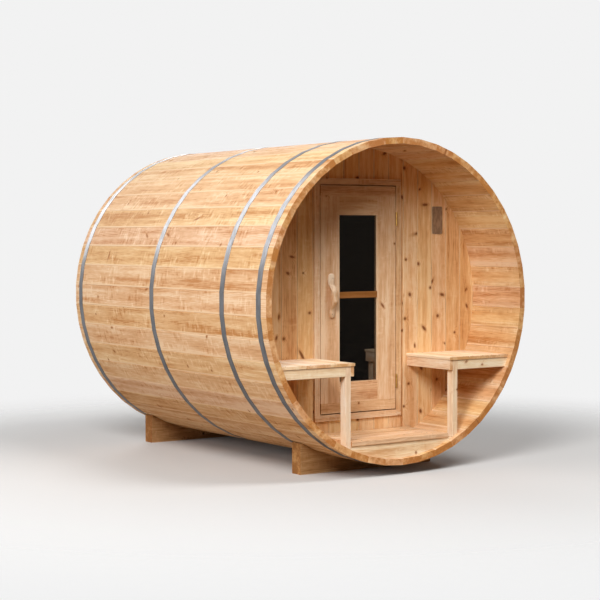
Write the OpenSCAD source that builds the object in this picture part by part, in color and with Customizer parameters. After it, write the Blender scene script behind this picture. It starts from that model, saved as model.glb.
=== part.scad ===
// Barrel sauna: coopered cedar staves in steel hoops, with an open porch at one end,
// two porch benches and a hinged door with a glazed panel.
// The barrel's axis runs along Y with the porch towards -Y. The ground is at Z = 0.

/* [Barrel] */
// Outside diameter over the stave edges
barrel_d = 1956; // [1800:2:2300]
// Length of the staves
barrel_len = 2358; // [2000:2:3600]
// Number of staves round the barrel
stave_count = 46; // [40:2:56]
// Thickness of a stave
stave_t = 38; // [32:1:45]
// Bevel along the long edges of a stave
stave_bevel = 3; // [1:0.5:6]
// Open joint between two staves
stave_joint = 0.3; // [0.2:0.1:1]
// Depth of the croze grooves that hold the end walls
croze_depth = 10; // [6:1:16]
// Clearance of a wall in its croze groove
croze_fit = 0.5; // [0.3:0.1:1]
// Clearance of pieces that are scribed to the inside of the staves
scribe_fit = 0.5; // [0.3:0.1:1]

/* [Hoops] */
// Width of a hoop
hoop_w = 48; // [25:1:60]
// Thickness of a hoop
hoop_t = 1.5; // [1:0.1:3]
// Clearance between a hoop and the staves
hoop_fit = 0.2; // [0.1:0.1:0.6]
// Middle of the porch hoop, from the front end
porch_hoop_in = 79; // [40:1:200]
// Middle of the middle hoop, behind the middle of the front wall hoop
middle_hoop_back = 837; // [400:1:1200]
// Middle of the rear hoop, behind the middle of the back wall
rear_hoop_back = 12; // [0:1:30]
// Angle of the hoop clamps below the right side, taken to the middle of the stave there
clamp_angle = 52; // [20:1:75]
// Gap between the two lugs of a hoop clamp
clamp_gap = 26; // [15:1:40]
// Height of a clamp lug
clamp_h = 26; // [20:1:40]
// Width of a clamp lug along the barrel
clamp_w = 36; // [20:1:50]
// Thickness of a clamp lug
clamp_t = 5; // [3:0.5:8]
// Diameter of a clamp bolt
clamp_bolt_d = 10; // [6:1:14]

/* [End walls] */
// Depth of the porch, from the front end to the front wall
porch_depth = 453; // [380:1:700]
// Distance of the back wall from the rear end
back_recess = 67; // [40:1:150]
// Thickness of the end walls
wall_t = 38; // [30:1:45]
// Width of a wall board, from joint to joint
wall_board_w = 116; // [80:1:180]
// Place of one wall board joint across the barrel
wall_joint_x = 12; // [-60:1:60]
// Width of the V groove at a wall board joint
wall_groove_w = 6; // [3:0.5:10]

/* [Door frame] */
// Middle of the doorway across the barrel
door_x = 2; // [-40:1:40]
// Height of the door frame's underside above the deck
door_step = 74; // [40:1:120]
// Distance of the door frame's top from the inside of the top stave
door_head_drop = 193; // [150:1:300]
// Face width of the frame members
frame_face = 38; // [35:1:60]
// How far the frame stands proud of both wall faces
frame_proud = 10; // [4:1:20]
// How far the door stop reaches into the doorway
stop_w = 16; // [12:1:25]
// Clearance between the closed door and its stop
stop_gap = 6; // [5:0.5:10]

/* [Door] */
// Width of the door leaf
door_w = 575; // [480:1:620]
// Thickness of the door leaf
door_t = 38; // [32:1:44]
// Gap round the door leaf
door_gap = 7; // [6:0.5:10]
// Height of the cap rails at the top and bottom of the leaf
cap_h = 63; // [40:1:90]
// Width of the stiles
stile_w = 141; // [80:1:160]
// Height of the upper rail
upper_rail_h = 117; // [70:1:160]
// Height of the lower rail
lower_rail_h = 126; // [70:1:200]
// Thickness of the glass
pane_t = 6; // [4:1:10]
// How far the glass reaches into the stiles and rails
pane_bite = 10; // [6:1:16]
// Clearance round the glass in its groove
pane_fit = 0.3; // [0.2:0.1:0.8]
// Height of the glazing bar
bar_h = 38; // [20:1:60]
// Height of the glazing bar's middle above the middle of the glass
bar_up = 22; // [-100:1:100]
// How far the glazing bar lies behind the leaf's faces
bar_inset = 3; // [1:0.5:8]

/* [Door handle] */
// Distance of the handle from the leaf's free edge
handle_in = 78; // [50:1:100]
// Height of the handle's middle above the middle of the leaf
handle_up = 24.5; // [-150:1:150]
// Length of the handle
handle_len = 274; // [180:1:320]
// Width of the handle's grip
handle_w = 33; // [22:1:40]
// Distance of the grip's middle from the leaf
handle_stand = 46; // [38:1:60]

/* [Hinges] */
// Height of a hinge
hinge_h = 86; // [70:1:140]
// Width of a hinge leaf, into the gap beside the door
hinge_leaf_w = 26; // [18:1:32]
// Thickness of a hinge leaf
hinge_leaf_t = 2; // [1.5:0.5:3]
// Radius of a hinge knuckle
hinge_r = 6; // [5:0.5:8]
// Radius of the hinge pin
hinge_pin_r = 2.5; // [2:0.25:3.5]
// Running clearance at the pin and between the knuckles
hinge_play = 0.3; // [0.1:0.1:0.6]
// Middle of the upper hinge below the leaf's top
hinge_in_top = 203; // [100:1:260]
// Middle of the lower hinge above the leaf's bottom
hinge_in_bottom = 175; // [100:1:260]

/* [Benches] */
// Height of the bench seats above the deck
bench_h = 463; // [380:1:520]
// Left bench leg's door side, from the barrel's middle
bench_left = 363; // [340:1:450]
// Right bench leg's door side, from the barrel's middle
bench_right = 413; // [390:1:480]
// Distance of the benches and the deck from the front end
bench_setback = 25; // [5:1:80]
// Thickness of the seat boards
seat_t = 18; // [15:1:40]
// Number of seat boards on a bench
seat_boards = 3; // [2:1:5]
// Open joint between seat boards
seat_joint = 2; // [1:0.5:8]
// Overhang of the seat over its rails
seat_lip = 5; // [0.5:0.5:15]
// Gap between the seat and the staves at the seat's underside
seat_wall_gap = 4; // [2:1:20]
// Height of the bench rails
rail_h = 60; // [45:1:100]
// Thickness of the bench rails
rail_t = 22; // [18:1:38]
// Height of the cleat that carries a seat at the wall
cleat_h = 45; // [30:1:60]
// Width of a leg across the barrel
leg_w = 38; // [30:1:60]
// Depth of a leg along the barrel
leg_d = 54; // [30:1:80]

// Chamfer along the long edges of bench and deck timbers
timber_ease = 2.5; // [1:0.5:5]

/* [Floors] */
// Height of the floors above the lowest stave
deck_rise = 123; // [100:1:170]
// Thickness of the floor boards
deck_t = 28; // [20:1:38]
// Width of the porch deck
deck_w = 734; // [650:1:744]
// Gap between the porch deck and the left bench leg
deck_gap = 2; // [1:0.5:10]
// Number of porch deck boards
deck_boards = 4; // [3:1:6]
// Number of cabin floor boards
floor_boards = 6; // [4:1:9]
// Open joint between floor boards
deck_joint = 3; // [1:0.5:8]
// Gap between the cabin floor and the staves at its underside
floor_edge_gap = 12; // [5:1:40]
// Thickness of the bearers and sleepers
bearer_t = 38; // [25:1:60]
// Porch bearers' middle, from the barrel's middle
bearer_x = 270; // [150:1:300]
// Number of sleepers under the cabin floor
sleeper_count = 4; // [3:1:6]
// Thickness of the skirt board under the deck's front
skirt_t = 24; // [18:1:38]
// Setback of the skirt board behind the deck's front
skirt_back = 8; // [2:1:20]

/* [Cradles] */
// Height of the barrel's lowest point above the ground
cradle_clear = 60; // [40:1:150]
// Width of a cradle
cradle_w = 1000; // [800:1:1200]
// Height of a cradle's ends
cradle_h = 190; // [150:1:240]
// Thickness of a cradle
cradle_t = 89; // [60:1:140]
// Clearance between a cradle and the stave edges
cradle_fit = 0.2; // [0.1:0.1:0.6]
// Gap between a cradle and the hoop behind it
cradle_hoop_gap = 5; // [2:1:40]

/* [Hidden] */
$fn = 180;

// Colours
stave_colour = [0.87, 0.70, 0.50];
wall_colour = [0.82, 0.62, 0.42];
trim_colour = [0.90, 0.75, 0.57];
cradle_colour = [0.72, 0.55, 0.38];
steel_colour = [0.68, 0.69, 0.70];
glass_colour = [0.10, 0.10, 0.10, 0.8];
brass_colour = [0.76, 0.60, 0.32];

// Barrel: an upright flat-sided ring, with a joint between staves at the top and one at the bottom
barrel_r = barrel_d/2;
stave_angle = 360/stave_count;
outer_flat = barrel_r*cos(stave_angle/2);
inner_flat = outer_flat - stave_t;
scribe_flat = inner_flat - scribe_fit;
axis_z = cradle_clear + barrel_r;
front_y = -barrel_len/2;
back_y = barrel_len/2;

// Staves are numbered anticlockwise from the top joint, and the first is number 0
crown_half = 3;
half_count = stave_count/2;
side_end = half_count - crown_half;
side_count = side_end - crown_half;
upper_end = crown_half + floor(side_count/3);
middle_end = crown_half + floor(2*side_count/3);

// End walls
wall_y = front_y + porch_depth;
back_wall_y = back_y - back_recess - wall_t;
croze_r = inner_flat + croze_depth;
wall_r = croze_r - croze_fit;

// Hoops lie over the end walls, at the porch end and between
hoop_flat = outer_flat + hoop_fit;
porch_hoop_y = front_y + porch_hoop_in;
wall_hoop_y = wall_y + wall_t/2;
middle_hoop_y = wall_hoop_y + middle_hoop_back;
rear_hoop_y = back_wall_y + wall_t/2 + rear_hoop_back;
clamp_turn = (floor((90 + clamp_angle)/stave_angle) + 0.5)*stave_angle - 90;
clamp_sink = hoop_t/3;
clamp_head_d = clamp_bolt_d*1.8;
clamp_head_h = clamp_bolt_d*0.8;

// Floors and doorway
deck_z = axis_z - inner_flat + deck_rise;
deck_under = deck_z - deck_t;
frame_z0 = deck_z + door_step;
frame_z1 = axis_z + inner_flat - door_head_drop;
door_x0 = door_x - door_w/2;
door_x1 = door_x + door_w/2;
door_z0 = frame_z0 + frame_face + door_gap;
door_z1 = frame_z1 - frame_face - door_gap;
way_x0 = door_x0 - door_gap;
way_x1 = door_x1 + door_gap;
way_z0 = door_z0 - door_gap;
way_z1 = door_z1 + door_gap;
frame_x0 = way_x0 - frame_face;
frame_x1 = way_x1 + frame_face;
face_y = wall_y - frame_proud;
stop_y = face_y + door_t + stop_gap;
frame_back_y = wall_y + wall_t + frame_proud;

// Door panel
panel_z0 = door_z0 + cap_h;
panel_z1 = door_z1 - cap_h;
glass_x0 = door_x0 + stile_w;
glass_x1 = door_x1 - stile_w;
glass_z0 = panel_z0 + lower_rail_h;
glass_z1 = panel_z1 - upper_rail_h;
pane_y = face_y + (door_t - pane_t)/2;
bar_z = (glass_z0 + glass_z1)/2 + bar_up;
bar_d = (door_t - pane_t)/2 - bar_inset - pane_fit;
hinge_x = door_x1 + door_gap/2;
hinge_zs = [door_z0 + hinge_in_bottom, door_z1 - hinge_in_top];
knuckle_h = hinge_h/3;

// Door handle, lofted from rings between its lower and its upper foot
handle_rings = 26;
handle_sides = 16;
handle_x = door_x0 + handle_in;
handle_z0 = (door_z0 + door_z1)/2 + handle_up - handle_len/2;
handle_sink = handle_w/4;
handle_sway = handle_w/5;
handle_flare = 0.45;
handle_foot_share = 0.16;
handle_rise_share = 0.3;

// Benches
bench_z = deck_z + bench_h;
seat_under = bench_z - seat_t;
seat_out = sqrt(pow(inner_flat, 2) - pow(axis_z - seat_under, 2)) - seat_wall_gap;
bench_y = front_y + bench_setback;
rail_y = bench_y + seat_lip;
rail_z = seat_under - rail_h;

// Porch deck and cabin floor
deck_x0 = -bench_left + deck_gap;
floor_half = sqrt(pow(scribe_flat, 2) - pow(axis_z - deck_under, 2)) - floor_edge_gap;
floor_y0 = wall_y + wall_t;
skirt_y = bench_y + skirt_back;
cradle_behind = hoop_w/2 + cradle_hoop_gap;
past = 1;

// Runs a flat shape, drawn across the barrel's axis, from y0 to y1
module along_barrel(y0, y1) {
    translate([0, y1, axis_z]) rotate([90, 0, 0]) linear_extrude(y1 - y0) children();
}

// A box from one corner to the other
module block(low, high) {
    translate(low) cube(high - low);
}

// A rectangle with its corners cut off, for the section of a timber
module eased_section(w, h) {
    e = timber_ease;
    polygon([[e, 0], [w - e, 0], [w, e], [w, h - e], [w - e, h], [e, h], [0, h - e], [0, e]]);
}

// Timbers from one corner to the other, with eased edges along X, Y or Z
module timber_x(low, high) {
    translate(low) rotate([90, 0, 90]) linear_extrude(high.x - low.x)
        eased_section(high.y - low.y, high.z - low.z);
}

module timber_y(low, high) {
    translate([low.x, high.y, low.z]) rotate([90, 0, 0]) linear_extrude(high.y - low.y)
        eased_section(high.x - low.x, high.z - low.z);
}

module timber_z(low, high) {
    translate(low) linear_extrude(high.z - low.z) eased_section(high.x - low.x, high.y - low.y);
}

// A flat for each stave, at one distance from the barrel's axis
module stave_flats(distance) {
    corner = distance/cos(stave_angle/2);
    polygon([for (i = [0:stave_count - 1]) corner*[-sin(i*stave_angle), cos(i*stave_angle)]]);
}

// Keeps what lies inside the staves, so that an end fits against their flats
module scribed() {
    intersection() {
        children();
        along_barrel(front_y, back_y) stave_flats(scribe_flat);
    }
}

// Half the width of a stave at a distance from the barrel's axis
function stave_half(r) = r*tan(stave_angle/2) - stave_joint/2;

// One stave's section: radial edges, with a bevel at each corner
function stave_section() =
    let (side = [
        [inner_flat, stave_half(inner_flat) - stave_bevel],
        [inner_flat + stave_bevel, stave_half(inner_flat + stave_bevel)],
        [outer_flat - stave_bevel, stave_half(outer_flat - stave_bevel)],
        [outer_flat, stave_half(outer_flat) - stave_bevel]
    ])
    concat(side, [for (i = [len(side) - 1:-1:0]) [side[i][0], -side[i][1]]]);

// Groove round the inside of the staves for an end wall
module croze(y) {
    along_barrel(y - croze_fit, y + wall_t + croze_fit) circle(croze_r);
}

// Neighbouring staves, from one number to another
module staves(first, last) {
    color(stave_colour) difference() {
        along_barrel(front_y, back_y)
            for (i = [first:last]) rotate(90 + (i + 0.5)*stave_angle) polygon(stave_section());
        croze(wall_y);
        croze(back_wall_y);
    }
}

module crown_staves() {
    staves(-crown_half, crown_half - 1);
}

module left_upper_staves() {
    staves(crown_half, upper_end - 1);
}

module left_side_staves() {
    staves(upper_end, middle_end - 1);
}

module left_lower_staves() {
    staves(middle_end, side_end - 1);
}

module keel_staves() {
    staves(side_end, stave_count - side_end - 1);
}

module right_lower_staves() {
    staves(stave_count - side_end, stave_count - middle_end - 1);
}

module right_side_staves() {
    staves(stave_count - middle_end, stave_count - upper_end - 1);
}

module right_upper_staves() {
    staves(stave_count - upper_end, stave_count - crown_half - 1);
}

// One end of a hoop, turned out into a lug, with X pointing away from the barrel
module hoop_lug() {
    translate([hoop_flat + clamp_sink, -clamp_w/2, clamp_gap/2]) cube([clamp_h, clamp_w, clamp_t]);
    translate([hoop_flat + hoop_t + clamp_h/2, 0, clamp_gap/2 + clamp_t])
        cylinder(h = clamp_head_h, d = clamp_head_d, $fn = 6);
}

// Places what is drawn about the origin at a hoop's clamp
module at_clamp(y) {
    translate([0, y, axis_z]) rotate([0, clamp_turn, 0]) children();
}

// A steel hoop: a band that lies on every stave, open at the clamp, whose lugs a bolt draws together
module hoop(y) {
    bolt_half = clamp_gap/2 + clamp_t + clamp_bolt_d;
    color(steel_colour) {
        difference() {
            along_barrel(y - hoop_w/2, y + hoop_w/2) difference() {
                stave_flats(hoop_flat + hoop_t);
                stave_flats(hoop_flat);
            }
            at_clamp(y) translate([0, -hoop_w/2 - past, -clamp_gap/2])
                cube([barrel_d, hoop_w + 2*past, clamp_gap]);
        }
        at_clamp(y) for (s = [0, 1]) mirror([0, 0, s]) hoop_lug();
        at_clamp(y) translate([hoop_flat + hoop_t + clamp_h/2, 0, -bolt_half])
            cylinder(h = 2*bolt_half, d = clamp_bolt_d, $fn = 48);
    }
}

module porch_hoop() {
    hoop(porch_hoop_y);
}

module wall_hoop() {
    hoop(wall_hoop_y);
}

module middle_hoop() {
    hoop(middle_hoop_y);
}

module rear_hoop() {
    hoop(rear_hoop_y);
}

// An end wall of upright boards, with a V groove at each joint on both faces
module end_wall(y) {
    reach = ceil(wall_r/wall_board_w);
    side = wall_groove_w/sqrt(2);
    color(wall_colour) difference() {
        along_barrel(y, y + wall_t) circle(wall_r);
        for (i = [-reach:reach], face = [y, y + wall_t]) {
            x = wall_joint_x + i*wall_board_w;
            if (abs(x) < wall_r) translate([x, face, axis_z]) rotate([0, 0, 45])
                cube([side, side, barrel_d], center = true);
        }
    }
}

// The part of the front wall between two corners, seen from the front
module front_wall_part(x0, x1, z0, z1) {
    color(wall_colour) intersection() {
        end_wall(wall_y);
        block([x0, wall_y - past, z0], [x1, wall_y + wall_t + past, z1]);
    }
}

module front_wall_left() {
    front_wall_part(-barrel_r, frame_x0, axis_z - barrel_r, axis_z + barrel_r);
}

module front_wall_right() {
    front_wall_part(frame_x1, barrel_r, axis_z - barrel_r, axis_z + barrel_r);
}

module front_wall_header() {
    front_wall_part(frame_x0, frame_x1, frame_z1, axis_z + barrel_r);
}

module front_wall_foot() {
    front_wall_part(frame_x0, frame_x1, axis_z - barrel_r, frame_z0);
}

module back_wall() {
    end_wall(back_wall_y);
}

// An upright of the door frame, rebated for the leaf
module frame_jamb(outer_x, way_x, toward) {
    color(trim_colour) {
        block([min(outer_x, way_x), face_y, way_z0], [max(outer_x, way_x), frame_back_y, way_z1]);
        stop_x = way_x + toward*stop_w;
        block([min(way_x, stop_x), stop_y, way_z0], [max(way_x, stop_x), frame_back_y, way_z1]);
    }
}

module frame_left_jamb() {
    frame_jamb(frame_x0, way_x0, 1);
}

module frame_right_jamb() {
    frame_jamb(frame_x1, way_x1, -1);
}

module frame_head() {
    color(trim_colour) {
        block([frame_x0, face_y, way_z1], [frame_x1, frame_back_y, frame_z1]);
        block([way_x0 + stop_w, stop_y, way_z1 - stop_w], [way_x1 - stop_w, frame_back_y, way_z1]);
    }
}

module frame_sill() {
    color(trim_colour) {
        block([frame_x0, face_y, frame_z0], [frame_x1, frame_back_y, way_z0]);
        block([way_x0 + stop_w, stop_y, way_z0], [way_x1 - stop_w, frame_back_y, way_z0 + stop_w]);
    }
}

// The sheet of glass, grown by a clearance for its groove
module pane(fit) {
    reach = pane_bite + fit;
    block([glass_x0 - reach, pane_y - fit, glass_z0 - reach],
          [glass_x1 + reach, pane_y + pane_t + fit, glass_z1 + reach]);
}

// A member of the leaf, as thick as the leaf and grooved for the glass
module leaf_member(x0, x1, z0, z1) {
    color(trim_colour) difference() {
        block([x0, face_y, z0], [x1, face_y + door_t, z1]);
        pane(pane_fit);
    }
}

module door_left_stile() {
    leaf_member(door_x0, glass_x0, panel_z0, panel_z1);
}

module door_right_stile() {
    leaf_member(glass_x1, door_x1, panel_z0, panel_z1);
}

module door_cap_rails() {
    leaf_member(door_x0, door_x1, door_z0, panel_z0);
    leaf_member(door_x0, door_x1, panel_z1, door_z1);
}

module door_upper_rail() {
    leaf_member(glass_x0, glass_x1, glass_z1, panel_z1);
}

module door_lower_rail() {
    leaf_member(glass_x0, glass_x1, panel_z0, glass_z0);
}

module door_glass() {
    color(glass_colour) pane(0);
}

// Glazing bars: one before the glass and one behind it
module door_glazing_bars() {
    color(trim_colour) for (y = [face_y + bar_inset, pane_y + pane_t + pane_fit])
        block([glass_x0, y, bar_z - bar_h/2], [glass_x1, y + bar_d, bar_z + bar_h/2]);
}

// Rises smoothly from 0 to 1 while x goes from 0 to 1
function smooth(x) = let (u = min(max(x, 0), 1)) u*u*(3 - 2*u);

// How far a handle ring's inner side stands off the leaf: sunk at the feet, clear along the grip
function handle_inner(near) =
    let (out = smooth((near - handle_foot_share)/handle_rise_share))
    out*(handle_stand - handle_w/2) - (1 - out)*handle_sink;

// How far its outer side stands off the leaf, rounded off at both ends
function handle_outer(near) = (handle_stand + handle_w/2)*sqrt(max(1 - pow(1 - near, 6), 0.08));

// One ring of the handle: an ellipse that is wider at the feet than at the grip
function handle_ring(t) =
    let (
        near = 1 - abs(2*t - 1),
        inner = handle_inner(near),
        outer = handle_outer(near),
        broad = 1 + handle_flare*(1 - smooth(1.6*near)),
        half_x = handle_w/2*broad*sqrt(max(1 - pow(1 - near, 14), 0.2)),
        x = handle_x + handle_sway*sin(250*t - 35),
        y = face_y - (inner + outer)/2,
        z = handle_z0 + handle_len*t
    )
    [for (k = [0:handle_sides - 1])
        let (a = 360*k/handle_sides) [x + half_x*cos(a), y + (outer - inner)/2*sin(a), z]];

// A carved bow handle, cut flat where its feet meet the leaf
module door_handle() {
    n = handle_sides;
    points = [for (i = [0:handle_rings]) each handle_ring((1 - cos(180*i/handle_rings))/2)];
    sides = [for (i = [0:handle_rings - 1], k = [0:n - 1])
        let (a = i*n + k, b = i*n + (k + 1)%n)
        each [[a, a + n, b + n], [a, b + n, b]]];
    ends = [[for (k = [0:n - 1]) k], [for (k = [n - 1:-1:0]) handle_rings*n + k]];
    color(trim_colour) difference() {
        polyhedron(points, concat(sides, ends));
        translate([handle_x - handle_len/2, face_y, handle_z0 - past])
            cube([handle_len, handle_w, handle_len + 2*past]);
    }
}

// A hinge leaf on the right side of the gap, with its knuckles from the given thirds
module hinge_leaf(thirds) {
    x0 = door_gap/2 - hinge_leaf_t;
    translate([x0, hinge_play, -hinge_h/2]) cube([hinge_leaf_t, hinge_leaf_w, hinge_h]);
    for (i = thirds) {
        low = i*knuckle_h - hinge_h/2 + (i > 0 ? hinge_play : 0);
        high = (i + 1)*knuckle_h - hinge_h/2 - (i < 2 ? hinge_play : 0);
        translate([x0, -hinge_r, low]) cube([hinge_leaf_t, hinge_r + hinge_leaf_w, high - low]);
        translate([0, -hinge_r, low]) cylinder(h = high - low, r = hinge_r, $fn = 48);
    }
}

// Hinge leaves on the door: the middle knuckles, bored for the pins
module door_hinge_leaves() {
    color(brass_colour) for (z = hinge_zs) translate([hinge_x, face_y, z]) mirror([1, 0, 0]) difference() {
        hinge_leaf([1]);
        translate([0, -hinge_r, -hinge_h/2])
            cylinder(h = hinge_h, r = hinge_pin_r + hinge_play, $fn = 48);
    }
}

// Hinge leaves on the frame: the outer knuckles, with the pins
module frame_hinge_leaves() {
    color(brass_colour) for (z = hinge_zs) translate([hinge_x, face_y, z]) {
        hinge_leaf([0, 2]);
        translate([0, -hinge_r, -hinge_h/2]) cylinder(h = hinge_h, r = hinge_pin_r, $fn = 48);
    }
}

// The bench pieces are drawn on the right side: side is 1 there and -1 on the left
module on_side(side) {
    mirror([side < 0 ? 1 : 0, 0, 0]) children();
}

// Seat boards along the porch, side by side from the door end to the staves
module seat(side, leg_x) {
    x0 = leg_x - rail_t - seat_lip;
    pitch = (seat_out - x0 + seat_joint)/seat_boards;
    color(trim_colour) on_side(side) for (i = [0:seat_boards - 1])
        timber_y([x0 + i*pitch, bench_y, seat_under], [x0 + (i + 1)*pitch - seat_joint, wall_y, bench_z]);
}

// A leg that stands on the staves
module leg(side, leg_x) {
    color(trim_colour) on_side(side) scribed()
        timber_z([leg_x, rail_y, axis_z - barrel_r], [leg_x + leg_w, rail_y + leg_d, seat_under]);
}

// The rail on the door side of a bench, from the front to the wall
module side_rail(side, leg_x) {
    color(trim_colour) on_side(side)
        timber_y([leg_x - rail_t, rail_y, rail_z], [leg_x, wall_y, seat_under]);
}

// The front rail of a bench, from the leg to the staves
module front_rail(side, leg_x) {
    color(trim_colour) on_side(side) scribed()
        timber_x([leg_x + leg_w, rail_y, rail_z], [barrel_r, rail_y + rail_t, seat_under]);
}

// The cleat on the wall that carries the seat's back ends
module seat_cleat(side, leg_x) {
    color(trim_colour) on_side(side) scribed()
        block([leg_x, wall_y - rail_t, seat_under - cleat_h], [barrel_r, wall_y, seat_under]);
}

module left_seat() {
    seat(-1, bench_left);
}

module left_leg() {
    leg(-1, bench_left);
}

module left_side_rail() {
    side_rail(-1, bench_left);
}

module left_front_rail() {
    front_rail(-1, bench_left);
}

module right_seat() {
    seat(1, bench_right);
}

module right_leg() {
    leg(1, bench_right);
}

module right_side_rail() {
    side_rail(1, bench_right);
}

module right_front_rail() {
    front_rail(1, bench_right);
}

module seat_cleats() {
    seat_cleat(-1, bench_left);
    seat_cleat(1, bench_right);
}

// Porch deck boards, laid across the barrel
module porch_deck() {
    pitch = (wall_y - bench_y)/deck_boards;
    color(trim_colour) for (i = [0:deck_boards - 1])
        timber_x([deck_x0, bench_y + i*pitch, deck_under],
                 [deck_x0 + deck_w, bench_y + (i + 1)*pitch - deck_joint, deck_z]);
}

// Half-moon board that closes the space under the deck's front
module porch_skirt() {
    color(trim_colour) scribed()
        block([deck_x0, skirt_y, axis_z - barrel_r],
              [bench_right - deck_gap, skirt_y + skirt_t, deck_under]);
}

// Cabin floor boards, laid along the barrel
module cabin_floor() {
    pitch = (2*floor_half + deck_joint)/floor_boards;
    color(trim_colour) for (i = [0:floor_boards - 1])
        timber_y([-floor_half + i*pitch, floor_y0, deck_under],
                 [-floor_half + (i + 1)*pitch - deck_joint, back_wall_y, deck_z]);
}

// Bearers along the porch and sleepers across the cabin, scribed to the staves
module floor_bearers() {
    sleeper_pitch = (back_wall_y - floor_y0)/sleeper_count;
    color(trim_colour) scribed() {
        for (x = [-bearer_x, bearer_x])
            block([x - bearer_t/2, skirt_y + skirt_t, axis_z - barrel_r],
                  [x + bearer_t/2, wall_y, deck_under]);
        for (i = [0:sleeper_count - 1]) {
            y = floor_y0 + (i + 0.5)*sleeper_pitch;
            block([-floor_half, y - bearer_t/2, axis_z - barrel_r],
                  [floor_half, y + bearer_t/2, deck_under]);
        }
    }
}

// A timber cradle, hollowed on top to the barrel's curve, just ahead of a hoop
module cradle(hoop_y) {
    y1 = hoop_y - cradle_behind;
    color(cradle_colour) difference() {
        block([-cradle_w/2, y1 - cradle_t, 0], [cradle_w/2, y1, cradle_h]);
        along_barrel(y1 - cradle_t - past, y1 + past) circle(barrel_r + cradle_fit);
    }
}

module front_cradle() {
    cradle(wall_hoop_y);
}

module rear_cradle() {
    cradle(rear_hoop_y);
}

crown_staves();
left_upper_staves();
left_side_staves();
left_lower_staves();
keel_staves();
right_lower_staves();
right_side_staves();
right_upper_staves();
porch_hoop();
wall_hoop();
middle_hoop();
rear_hoop();
front_wall_left();
front_wall_right();
front_wall_header();
front_wall_foot();
back_wall();
frame_left_jamb();
frame_right_jamb();
frame_head();
frame_sill();
door_left_stile();
door_right_stile();
door_cap_rails();
door_upper_rail();
door_lower_rail();
door_glass();
door_glazing_bars();
door_handle();
door_hinge_leaves();
frame_hinge_leaves();
left_seat();
left_leg();
left_side_rail();
left_front_rail();
right_seat();
right_leg();
right_side_rail();
right_front_rail();
seat_cleats();
porch_deck();
porch_skirt();
cabin_floor();
floor_bearers();
front_cradle();
rear_cradle();
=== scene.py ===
import math

import bpy
import numpy as np
from mathutils import Matrix, Vector


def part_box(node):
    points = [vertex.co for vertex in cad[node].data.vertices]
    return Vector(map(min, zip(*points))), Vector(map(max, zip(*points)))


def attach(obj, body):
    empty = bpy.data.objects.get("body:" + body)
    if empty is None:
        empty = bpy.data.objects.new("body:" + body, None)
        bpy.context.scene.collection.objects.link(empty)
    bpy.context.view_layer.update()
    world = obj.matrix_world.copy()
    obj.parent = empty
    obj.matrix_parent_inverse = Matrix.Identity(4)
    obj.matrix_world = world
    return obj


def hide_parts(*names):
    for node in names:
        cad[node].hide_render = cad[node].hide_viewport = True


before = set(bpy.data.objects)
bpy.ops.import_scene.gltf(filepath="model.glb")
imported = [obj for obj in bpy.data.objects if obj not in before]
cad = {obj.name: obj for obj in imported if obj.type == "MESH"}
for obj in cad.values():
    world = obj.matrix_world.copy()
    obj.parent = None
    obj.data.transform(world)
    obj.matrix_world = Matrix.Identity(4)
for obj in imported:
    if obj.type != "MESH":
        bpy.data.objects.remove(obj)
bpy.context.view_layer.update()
scene = bpy.context.scene
scene.view_settings.view_transform = "Standard"
print("loaded", len(cad), "nodes")


# Node tree helpers: a value is either a number or colour, or an output socket to link
def feed(tree, target, value):
    if isinstance(value, bpy.types.NodeSocket):
        tree.links.new(value, target)
    else:
        target.default_value = value


def calc(tree, operation, a, b=0.0, c=0.0):
    n = tree.nodes.new("ShaderNodeMath")
    n.operation = operation
    for target, value in zip(n.inputs, (a, b, c)):
        feed(tree, target, value)
    return n.outputs[0]


def total(tree, *values):
    out = values[0]
    for v in values[1:]:
        out = calc(tree, "ADD", out, v)
    return out


def times(tree, *values):
    out = values[0]
    for v in values[1:]:
        out = calc(tree, "MULTIPLY", out, v)
    return out


def less(tree, a, b):
    return calc(tree, "SUBTRACT", a, b)


def length(tree, a, b):
    return calc(tree, "SQRT", total(tree, times(tree, a, a), times(tree, b, b)))


def joinXyz(tree, x, y, z=0.0):
    n = tree.nodes.new("ShaderNodeCombineXYZ")
    for target, value in zip(n.inputs, (x, y, z)):
        feed(tree, target, value)
    return n.outputs[0]


def splitXyz(tree, vector):
    n = tree.nodes.new("ShaderNodeSeparateXYZ")
    feed(tree, n.inputs[0], vector)
    return n.outputs[0], n.outputs[1], n.outputs[2]


def objectXyz(tree):
    return splitXyz(tree, tree.nodes.new("ShaderNodeTexCoord").outputs["Object"])


def vectorMath(tree, operation, a, b=(0.0, 0.0, 0.0)):
    n = tree.nodes.new("ShaderNodeVectorMath")
    n.operation = operation
    feed(tree, n.inputs[0], a)
    feed(tree, n.inputs[1], b)
    return n.outputs["Value" if operation == "DOT_PRODUCT" else "Vector"]


def noise(tree, position, rates, detail, shift=0.0):  # each axis has a rate of its own
    spots = [times(tree, p, rate) for p, rate in zip(position, rates)]
    if shift:
        spots[-1] = total(tree, spots[-1], shift)
    n = tree.nodes.new("ShaderNodeTexNoise")
    feed(tree, n.inputs["Vector"], joinXyz(tree, *spots))
    n.inputs["Scale"].default_value = 1.0
    n.inputs["Detail"].default_value = detail
    n.inputs["Roughness"].default_value = 0.5
    return n.outputs["Fac"]


def chance(tree, number):
    n = tree.nodes.new("ShaderNodeTexWhiteNoise")
    n.noise_dimensions = "1D"
    feed(tree, n.inputs["W"], number)
    return n.outputs["Value"], splitXyz(tree, n.outputs["Color"])


def ease(tree, value, low, high, outLow=0.0, outHigh=1.0):
    n = tree.nodes.new("ShaderNodeMapRange")
    n.interpolation_type = "SMOOTHSTEP"
    for name, v in (("Value", value), ("From Min", low), ("From Max", high),
                    ("To Min", outLow), ("To Max", outHigh)):
        feed(tree, n.inputs[name], v)
    return n.outputs[0]


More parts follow.
